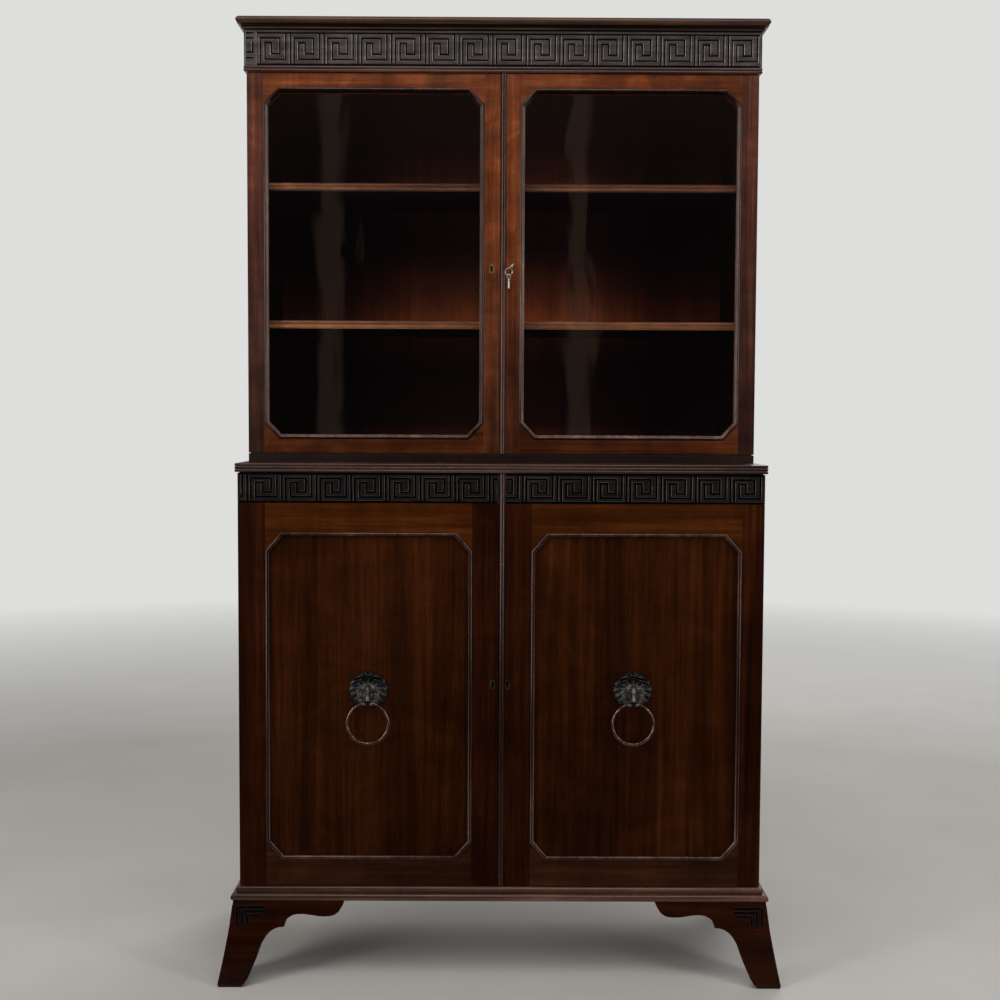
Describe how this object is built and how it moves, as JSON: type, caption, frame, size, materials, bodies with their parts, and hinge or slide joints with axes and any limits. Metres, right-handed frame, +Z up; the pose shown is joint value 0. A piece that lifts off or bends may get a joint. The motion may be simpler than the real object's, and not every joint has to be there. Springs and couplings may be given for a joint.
{
  "type": "bookcase with glass doors",
  "caption": "Mahogany bookcase in two sections: glazed doors with canted corners above, panelled cupboard doors with carved key friezes and lion mask ring pulls below, on splayed bracket feet.",
  "frame": {"origin": "on the floor, in the middle of the footprint", "axes": "+Z up, +Y to the back (against the wall), +X to the right as seen from the front"},
  "size_m": [1.126, 0.507, 1.945],
  "materials": {
    "mahogany": "old French polish, dark, semi gloss",
    "red_mahogany": "old French polish, reddish, semi gloss",
    "inner_wood": "plain stained, matt",
    "ebonised_wood": "ebonised, worn at the edges",
    "brass": "aged brass",
    "bronze": "dark patinated brass",
    "glass": "old clear sheet glass, slightly wavy"
  },
  "bodies": {
    "case": {"cornice_moulding": "mahogany", "cornice_frieze": "ebonised_wood", "upper_base_board": "mahogany", "upper_back": "inner_wood", "upper_shelf_low": "red_mahogany", "upper_shelf_high": "red_mahogany", "lower_top": "mahogany", "lower_bottom": "inner_wood", "lower_back": "inner_wood", "lower_shelf": "inner_wood", "base_moulding": "mahogany", "upper_side_left": "mahogany", "lower_side_left": "mahogany", "foot_front_left": "mahogany", "foot_back_left": "mahogany", "upper_side_right": "mahogany", "lower_side_right": "mahogany", "foot_front_right": "mahogany", "foot_back_right": "mahogany", "upper_left_hinge_bottom_case_leaf": "brass", "upper_left_hinge_top_case_leaf": "brass", "lower_left_hinge_bottom_case_leaf": "brass", "lower_left_hinge_top_case_leaf": "brass", "upper_right_hinge_bottom_case_leaf": "brass", "upper_right_hinge_top_case_leaf": "brass", "lower_right_hinge_bottom_case_leaf": "brass", "lower_right_hinge_top_case_leaf": "brass"},
    "upper_left_door": {"upper_left_door_frame": "red_mahogany", "upper_left_glazing_moulding": "red_mahogany", "upper_left_glass": "glass", "upper_left_escutcheon": "brass", "upper_left_hinge_bottom_door_leaf": "brass", "upper_left_hinge_top_door_leaf": "brass"},
    "upper_right_door": {"upper_right_door_frame": "red_mahogany", "upper_right_glazing_moulding": "red_mahogany", "upper_right_glass": "glass", "upper_right_astragal": "red_mahogany", "upper_right_lock_case": "brass", "upper_right_hinge_bottom_door_leaf": "brass", "upper_right_hinge_top_door_leaf": "brass"},
    "lock_bolt": {"upper_right_lock_bolt": "brass"},
    "key": {"key": "brass"},
    "key_fob": {"key_fob": "brass"},
    "lower_left_door": {"lower_left_door_frame": "mahogany", "lower_left_panel": "mahogany", "lower_left_panel_bead": "mahogany", "lower_left_frieze": "ebonised_wood", "lower_left_lion_mask": "bronze", "lower_left_hinge_bottom_door_leaf": "brass", "lower_left_hinge_top_door_leaf": "brass"},
    "left_ring": {"lower_left_ring": "bronze"},
    "lower_right_door": {"lower_right_door_frame": "mahogany", "lower_right_panel": "mahogany", "lower_right_panel_bead": "mahogany", "lower_right_frieze": "ebonised_wood", "lower_right_lion_mask": "bronze", "lower_right_astragal": "mahogany", "lower_right_hinge_bottom_door_leaf": "brass", "lower_right_hinge_top_door_leaf": "brass"},
    "right_ring": {"lower_right_ring": "bronze"}
  },
  "joints": [
    {"name": "upper_left_door_swing", "type": "hinge", "parent": "case", "child": "upper_left_door", "pos_m": [-0.522, -0.0642, 1.448], "axis": [0, 0, -1], "range_deg": [0, 170]},
    {"name": "upper_right_door_swing", "type": "hinge", "parent": "case", "child": "upper_right_door", "pos_m": [0.522, -0.0642, 1.448], "axis": [0, 0, 1], "range_deg": [0, 170]},
    {"name": "key_turn", "type": "hinge", "parent": "upper_right_door", "child": "key", "pos_m": [0.0185, -0.0865, 1.4435], "axis": [0, -1, 0], "range_deg": [0, 225]},
    {"name": "bolt_slide", "type": "slide", "parent": "upper_right_door", "child": "lock_bolt", "axis": [-1, 0, 0], "range_m": [0, 0.006]},
    {"name": "key_fob_swing", "type": "hinge", "parent": "key", "child": "key_fob", "pos_m": [0.01334, -0.1085, 1.43834], "axis": [0, -1, 0], "range_deg": [-200, 115]},
    {"name": "lower_left_door_swing", "type": "hinge", "parent": "case", "child": "lower_left_door", "pos_m": [-0.522, -0.1942, 0.61], "axis": [0, 0, -1], "range_deg": [0, 170]},
    {"name": "left_ring_swing", "type": "hinge", "parent": "lower_left_door", "child": "left_ring", "pos_m": [-0.264, -0.2288, 0.5685], "axis": [-1, 0, 0], "range_deg": [0, 85]},
    {"name": "lower_right_door_swing", "type": "hinge", "parent": "case", "child": "lower_right_door", "pos_m": [0.522, -0.1942, 0.61], "axis": [0, 0, 1], "range_deg": [0, 170]},
    {"name": "right_ring_swing", "type": "hinge", "parent": "lower_right_door", "child": "right_ring", "pos_m": [0.264, -0.2288, 0.5685], "axis": [-1, 0, 0], "range_deg": [0, 85]}
  ],
  "couplings": [
    {"joint": "bolt_slide", "follows": "key_turn", "m_per_rad": 0.0015279}
  ]
}
